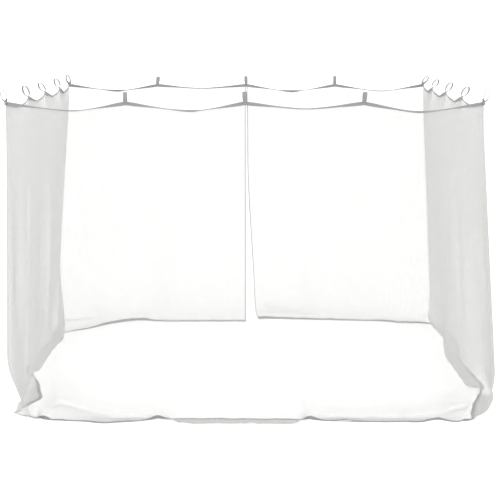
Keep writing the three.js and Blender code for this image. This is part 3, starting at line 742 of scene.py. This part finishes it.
def woven_polyester(name, colour, rib, stitch_rows):
    """Matt woven polyester tape with ribs across it and rows of stitches along it.

    rib is the drawn pitch of the ribs in metres, and stitch_rows the distance of the stitch rows
    from the tape's middle. Ribs of 0.9 mm, 1.2 mm on the webbing, and stitches of 3 mm are drawn
    twice as coarse, so that they show.
    """
    material, tree, output = new_material(name)
    place = add_node(tree, "Attribute", attribute_name="weave").outputs["Vector"]
    parts = add_node(tree, "SeparateXYZ", {"Vector": place}).outputs
    ribs = add_node(
        tree,
        "TexWave",
        {"Vector": place, "Scale": wave_scale(rib), "Distortion": 0.4, "Detail": 1.0},
        bands_direction="X",
    ).outputs["Fac"]
    from_middle = add_node(tree, "Math", {0: parts["Y"]}, operation="ABSOLUTE").outputs[0]
    in_row = add_node(
        tree,
        "Math",
        {0: from_middle, 1: stitch_rows, 2: STITCH_HALF_WIDTH},
        operation="COMPARE",
    ).outputs[0]
    dashes = add_node(
        tree, "TexWave", {"Vector": place, "Scale": wave_scale(STITCH_PITCH)}, bands_direction="X"
    ).outputs["Fac"]
    dash = add_node(tree, "Math", {0: dashes, 1: STITCH_GAP}, operation="GREATER_THAN").outputs[0]
    stitch = add_node(tree, "Math", {0: in_row, 1: dash}, operation="MULTIPLY").outputs[0]
    wear = add_node(
        tree, "TexNoise", {"Vector": place, "Scale": 14.0, "Detail": 3.0, "Roughness": 0.6}
    ).outputs["Fac"]
    # Painted shade: the ribs' colour darkens where their bump is low, in the hollows between them.
    rib_hollow_shade = add_node(
        tree, "MapRange", {"Value": ribs, "To Min": 0.84, "To Max": 1.06}
    ).outputs["Result"]
    patch = add_node(
        tree,
        "MapRange",
        {"Value": wear, "From Min": 0.3, "From Max": 0.7, "To Min": 0.94, "To Max": 1.05},
    ).outputs["Result"]
    shade = add_node(tree, "Math", {0: rib_hollow_shade, 1: patch}, operation="MULTIPLY").outputs[0]
    shade = add_node(
        tree, "Mix", {"Factor": stitch, "A": shade, "B": STITCH_TONE}, data_type="FLOAT"
    ).outputs["Result"]
    base = add_node(
        tree, "VectorMath", {0: tuple(colour), "Scale": shade}, operation="SCALE"
    ).outputs[0]
    height = add_node(tree, "Math", {0: ribs, 1: stitch}, operation="ADD").outputs[0]
    bump = add_node(
        tree, "Bump", {"Strength": 0.5, "Distance": 0.3 * MM, "Height": height}
    ).outputs[0]
    surface = add_node(
        tree,
        "BsdfPrincipled",
        {
            "Base Color": base,
            "Roughness": 0.85,
            "IOR": 1.5,
            "Specular IOR Level": 0.3,
            "Sheen Weight": 0.12,
            "Normal": bump,
        },
    ).outputs[0]
    tree.links.new(surface, output.inputs["Surface"])
    return material


# Settings.


class StudioSettings(bpy.types.PropertyGroup):
    """Floor, lights and camera of the picture."""

    floor_colour: bpy.props.FloatVectorProperty(
        name="Floor colour",
        description="Plain pale floor",
        subtype="COLOR",
        default=linear("#fafafa"),
    )
    floor_glow: bpy.props.FloatProperty(
        name="Floor glow",
        description="Light of the lit white table itself",
        default=0.18,
        min=0,
    )
    surround: bpy.props.FloatProperty(
        name="Surround",
        description="Strength of the white light from all round",
        default=1.3,
        min=0,
    )
    lamp_power: bpy.props.FloatProperty(
        name="Lamp power",
        description="Power of the large soft lamp",
        default=40.0,
        min=0,
        subtype="POWER",
    )


class NetSettings(bpy.types.PropertyGroup):
    """The fine net."""

    # Painted shade: the threads' grey is darker than white polyester, standing in for the shade that
    # the threads cast on each other.
    self_shaded_thread_colour: bpy.props.FloatVectorProperty(
        name="Thread colour",
        description="White threads",
        subtype="COLOR",
        default=linear("#c2c2c0"),
    )
    cover: bpy.props.FloatProperty(
        name="Cover",
        description="Share that the threads cover face on",
        default=0.34,
        min=0.01,
        max=0.9,
    )
    column_width: bpy.props.FloatProperty(
        name="Column width",
        description="Width of one column of faces",
        default=0.0125,
        unit="LENGTH",
    )


class TapeSettings(bpy.types.PropertyGroup):
    """Woven tapes and webbing."""

    colour: bpy.props.FloatVectorProperty(
        name="Tape colour",
        description="Mid grey",
        subtype="COLOR",
        default=linear("#949494"),
    )
    heading_thickness: bpy.props.FloatProperty(
        name="Heading thickness",
        description="Folded heading tape",
        default=0.0022,
        unit="LENGTH",
    )
    hem_thickness: bpy.props.FloatProperty(
        name="Hem thickness",
        description="Folded hem tape and bindings",
        default=0.001,
        unit="LENGTH",
    )
    webbing_thickness: bpy.props.FloatProperty(
        name="Webbing thickness",
        description="Webbing of the loops",
        default=0.0024,
        unit="LENGTH",
    )


class GazeboNetSettings(bpy.types.PropertyGroup):
    """All settings of the gazebo net."""

    studio: bpy.props.PointerProperty(type=StudioSettings)
    net: bpy.props.PointerProperty(type=NetSettings)
    tape: bpy.props.PointerProperty(type=TapeSettings)


# Operators.


FLOOR_REACH = 60.0
LAMP_SIZE = 7.0, 4.0
LAMP_PLACE = -3.0, -5.5, 6.5
LAMP_TURN = math.radians(42), 0, math.radians(-28)
CAMERA_PLACE = -0.0062, -9.875, 2.475
CAMERA_PITCH = 0.16112  # radians below the level
CAMERA_LENS, SENSOR_WIDTH = 96.0, 36.0  # in mm
NET_LAYERS = 32  # see-through layers that a ray may pass


class GAZEBO_NET_OT_stage(bpy.types.Operator):
    """Adds the floor, the lights, the camera and the white surround"""

    bl_idname = "gazebo_net.stage"
    bl_label = "Stage"

    def execute(self, context):
        settings = context.scene.gazebo_net.studio
        # A dull white table lit from below as well, so that it is as bright as the surround.
        material, tree, output = new_material("lit_white_acrylic_table")
        grain = add_node(tree, "TexNoise", {"Scale": 40.0, "Detail": 3.0}).outputs["Fac"]
        shade = add_node(
            tree, "MapRange", {"Value": grain, "To Min": 0.985, "To Max": 1.0}
        ).outputs["Result"]
        base = add_node(
            tree, "VectorMath", {0: tuple(settings.floor_colour), "Scale": shade}, operation="SCALE"
        ).outputs[0]
        surface = add_node(
            tree,
            "BsdfPrincipled",
            {
                "Base Color": base,
                "Roughness": 0.9,
                "Specular IOR Level": 0.0,
                "Emission Color": (1, 1, 1, 1),
                "Emission Strength": settings.floor_glow,
            },
        ).outputs[0]
        tree.links.new(surface, output.inputs["Surface"])
        mesh = bpy.data.meshes.new("floor")
        ways = ((-1, -1), (1, -1), (1, 1), (-1, 1))
        corners = [(x * FLOOR_REACH, y * FLOOR_REACH, 0) for x, y in ways]
        mesh.from_pydata(corners, [], [(0, 1, 2, 3)])
        mesh.materials.append(material)
        floor = bpy.data.objects.new("floor", mesh)
        context.scene.collection.objects.link(floor)

        lamp = bpy.data.lights.new("soft_lamp", "AREA")
        lamp.shape = "RECTANGLE"
        lamp.size, lamp.size_y = LAMP_SIZE
        lamp.energy = settings.lamp_power
        lamp_object = bpy.data.objects.new("soft_lamp", lamp)
        lamp_object.location = LAMP_PLACE
        lamp_object.rotation_euler = LAMP_TURN
        context.scene.collection.objects.link(lamp_object)

        world = bpy.data.worlds.new("white_surround")
        world.use_nodes = True
        background = world.node_tree.nodes["Background"].inputs
        background["Color"].default_value = (1, 1, 1, 1)
        background["Strength"].default_value = settings.surround
        context.scene.world = world

        camera = bpy.data.cameras.new("camera")
        camera.lens, camera.sensor_width = CAMERA_LENS, SENSOR_WIDTH
        camera_object = bpy.data.objects.new("camera", camera)
        camera_object.location = CAMERA_PLACE
        camera_object.rotation_euler = (math.pi / 2 - CAMERA_PITCH, 0, 0)
        context.scene.collection.objects.link(camera_object)
        context.scene.camera = camera_object

        context.scene.view_settings.view_transform = "Standard"
        context.scene.view_settings.look = "None"
        context.scene.cycles.transparent_max_bounces = NET_LAYERS
        return {"FINISHED"}


class GAZEBO_NET_OT_heading_tape(bpy.types.Operator):
    """Adds the woven tape along the top edge"""

    bl_idname = "gazebo_net.heading_tape"
    bl_label = "Heading tape"

    def execute(self, context):
        settings = context.scene.gazebo_net.tape
        run = np.linspace(TAPE_END, ROUND - TAPE_END, HEADING_COLUMNS)
        grid = tape_grid(run, (ACROSS - 0.5) * TAPE_WIDTH)
        material = woven_polyester("woven_polyester_tape", settings.colour, TAPE_RIB, 9 * MM)
        thickness = settings.heading_thickness
        add_tape("tape_heading", grid, run, TAPE_WIDTH, thickness, material, ["heading_tape"])
        return {"FINISHED"}


class GAZEBO_NET_OT_hem_tape(bpy.types.Operator):
    """Adds the tape that is folded over the net's bottom edge"""

    bl_idname = "gazebo_net.hem_tape"
    bl_label = "Hem tape"

    def execute(self, context):
        settings = context.scene.gazebo_net.tape
        run = np.linspace(SLIT_HALF_GAP, ROUND - SLIT_HALF_GAP, HEM_COLUMNS)
        grid = crumple(hem_grid(run, (1 - ACROSS) * HEM_WIDTH))
        material = bpy.data.materials["woven_polyester_tape"]
        add_tape("tape_hem", grid, run, HEM_WIDTH, settings.hem_thickness, material, ["hem_tape"])
        return {"FINISHED"}


def cloth_rows():
    """Rows of the net down the cloth, up to the hem tape: each piece's start, end and count of rows."""
    pieces = [(0, 1, 2), (1, 2, 6), (2, 3, 34), (3, 4, 8), (4, 5, 7), (5, 6, 9), (6, 6.6, 2)]
    rows = [np.linspace(start, end, count, endpoint=False) for start, end, count in pieces]
    return np.concatenate(rows)


class GAZEBO_NET_OT_slit_bindings(bpy.types.Operator):
    """Adds the narrow binding up each free edge of the slit"""

    bl_idname = "gazebo_net.slit_bindings"
    bl_label = "Slit bindings"

    def execute(self, context):
        settings = context.scene.gazebo_net.tape
        material = woven_polyester(
            "woven_polyester_binding", settings.colour, TAPE_RIB, 2.4 * MM
        )
        for side in ("left", "right"):
            run = SLIT_HALF_GAP + ACROSS * BINDING_WIDTH
            if side == "right":
                run = (ROUND - run)[::-1]
            points, weave = net_grid(run, cloth_rows())
            # The strip's columns go down the slit and its rows across it.
            across = np.moveaxis(points, 0, 1)[::-1]
            along = weave[0, ::-1, 1]
            add_tape(
                f"binding_slit_{side}",
                across,
                along,
                BINDING_WIDTH,
                settings.hem_thickness,
                material,
                [f"slit_binding_{side}"],
            )
        return {"FINISHED"}


# The loops in order round the band from the middle of the back.
LOOP_NAMES = [
    "loop_back_centre", "loop_back_left", "loop_corner_back_left", "loop_left_back",
    "loop_left_centre", "loop_left_front", "loop_corner_front_left", "loop_front_left",
    "loop_front_centre", "loop_front_right", "loop_corner_front_right", "loop_right_front",
    "loop_right_centre", "loop_right_back", "loop_corner_back_right", "loop_back_right",
]


def loop_line(lean, breadth):
    """Side view of a loop's webbing as (outwards, up): up the tape, round an oval, and back down.

    The leaning oval is a cosine along it and a sine across it of one angle, with its foot left open
    for the two tails. A running mean along the line softens its joins as the stiff webbing does.
    """
    tail_inner, tail_outer = 1.7 * MM, 3.2 * MM
    foot = np.array([(tail_inner + tail_outer) / 2, TAPE_WIDTH / 2])
    long_way = np.array([math.sin(lean), math.cos(lean)])
    wide_way = np.array([math.cos(lean), -math.sin(lean)])
    inset = 0.8 * MM  # from the webbing's face to its middle
    foot_open = 0.3  # radians on each side
    angle = np.linspace(math.pi + foot_open, 3 * math.pi - foot_open, 61)[:, None]
    centre = foot + long_way * LOOP_LENGTH / 2
    oval = (
        centre
        + (LOOP_LENGTH / 2 - inset) * np.cos(angle) * long_way
        + (breadth / 2 - inset) * np.sin(angle) * wide_way
    )
    bottom, top = 1 * MM - TAPE_WIDTH / 2, 9 * MM
    line = np.concatenate([
        [[tail_inner, bottom], [tail_inner, top]],
        oval,
        [[tail_outer, top], [tail_outer, bottom]],
    ])
    lengths = np.concatenate([[0], np.cumsum(np.linalg.norm(np.diff(line, axis=0), axis=1))])
    even = np.linspace(0, lengths[-1], 90)
    line = np.column_stack([np.interp(even, lengths, line[:, i]) for i in (0, 1)])
    window = np.ones(5) / 5
    soft = np.column_stack([np.convolve(line[:, i], window, mode="same") for i in (0, 1)])
    soft[:3], soft[-3:] = line[:3], line[-3:]
    return soft, even


class GAZEBO_NET_OT_loops(bpy.types.Operator):
    """Adds the 16 webbing loops that the net hangs by"""

    bl_idname = "gazebo_net.loops"
    bl_label = "Hanging loops"

    def execute(self, context):
        settings = context.scene.gazebo_net.tape
        material = woven_polyester("polyester_webbing", settings.colour, WEBBING_RIB, 9.5 * MM)
        names = [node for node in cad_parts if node.startswith("loop_")]
        if sorted(names) != sorted(LOOP_NAMES):
            raise RuntimeError("the frame's loops aren't the sixteen that this script knows")
        for place, (name, (lean, breadth, twist)) in enumerate(zip(LOOP_NAMES, LOOP_SHAPES)):
            line, along = loop_line(math.radians(lean), breadth * MM)
            middle, out, _ = heading_at(np.array([BAY * place]))
            # The twist grows above the tape, where the loop leaves its seam.
            above = smoothstep(TAPE_WIDTH / 2, TAPE_WIDTH / 2 + LOOP_TWISTED, line[:, 1])
            turn = math.atan2(out[0, 1], out[0, 0]) + math.radians(twist) * above
            outward = np.column_stack([np.cos(turn), np.sin(turn), 0 * turn])
            side = np.column_stack([-np.sin(turn), np.cos(turn), 0 * turn])
            across = (ACROSS - 0.5) * LOOP_WIDTH
            spine = middle[0] + line[:, :1] * outward + line[:, 1:] * UP
            grid = spine[:, None] + across[None, :, None] * side[:, None]
            add_tape(
                "webbing_" + name,
                grid,
                along,
                LOOP_WIDTH,
                settings.webbing_thickness,
                material,
                [name],
            )
        return {"FINISHED"}


class GAZEBO_NET_OT_net(bpy.types.Operator):
    """Adds the fine net"""

    bl_idname = "gazebo_net.net"
    bl_label = "Net"

    def execute(self, context):
        settings = context.scene.gazebo_net.net
        edge = SLIT_HALF_GAP + BINDING_WIDTH - BINDING_LAP
        columns = round((ROUND - 2 * edge) / settings.column_width) + 1
        run = np.linspace(edge, ROUND - edge, columns)
        points, weave = net_grid(run, cloth_rows())
        faces = grid_faces(*points.shape[:2])
        net = add_piece(
            "cloth_net",
            points.reshape(-1, 3),
            faces,
            weave.reshape(-1, 3),
            polyester_mosquito_mesh(settings),
            ["net"],
        )
        return {"FINISHED"}


class GAZEBO_NET_PT_panel(bpy.types.Panel):
    """Lists the settings and the pieces"""

    bl_label = "Gazebo net"
    bl_idname = "GAZEBO_NET_PT_panel"
    bl_space_type = "VIEW_3D"
    bl_region_type = "UI"
    bl_category = "Gazebo net"

    def draw(self, context):
        settings = context.scene.gazebo_net
        for group in (settings.studio, settings.net, settings.tape):
            box = self.layout.box()
            for name in type(group).__annotations__:
                box.prop(group, name)
        for operator in OPERATORS:
            self.layout.operator(operator.bl_idname)


OPERATORS = (
    GAZEBO_NET_OT_stage,
    GAZEBO_NET_OT_heading_tape,
    GAZEBO_NET_OT_hem_tape,
    GAZEBO_NET_OT_slit_bindings,
    GAZEBO_NET_OT_loops,
    GAZEBO_NET_OT_net,
)
CLASSES = (
    StudioSettings,
    NetSettings,
    TapeSettings,
    GazeboNetSettings,
    *OPERATORS,
    GAZEBO_NET_PT_panel,
)


def register():
    """Registers the classes and puts the settings on the scene."""
    for cls in CLASSES:
        bpy.utils.register_class(cls)
    bpy.types.Scene.gazebo_net = bpy.props.PointerProperty(type=GazeboNetSettings)


def unregister():
    """Takes the settings and the classes away again."""
    del bpy.types.Scene.gazebo_net
    for cls in reversed(CLASSES):
        bpy.utils.unregister_class(cls)


def main():
    """Makes the stage and every piece."""
    register()
    bpy.ops.gazebo_net.stage()
    bpy.ops.gazebo_net.heading_tape()
    bpy.ops.gazebo_net.hem_tape()
    bpy.ops.gazebo_net.slit_bindings()
    bpy.ops.gazebo_net.loops()
    bpy.ops.gazebo_net.net()


if __name__ == "__main__":
    main()
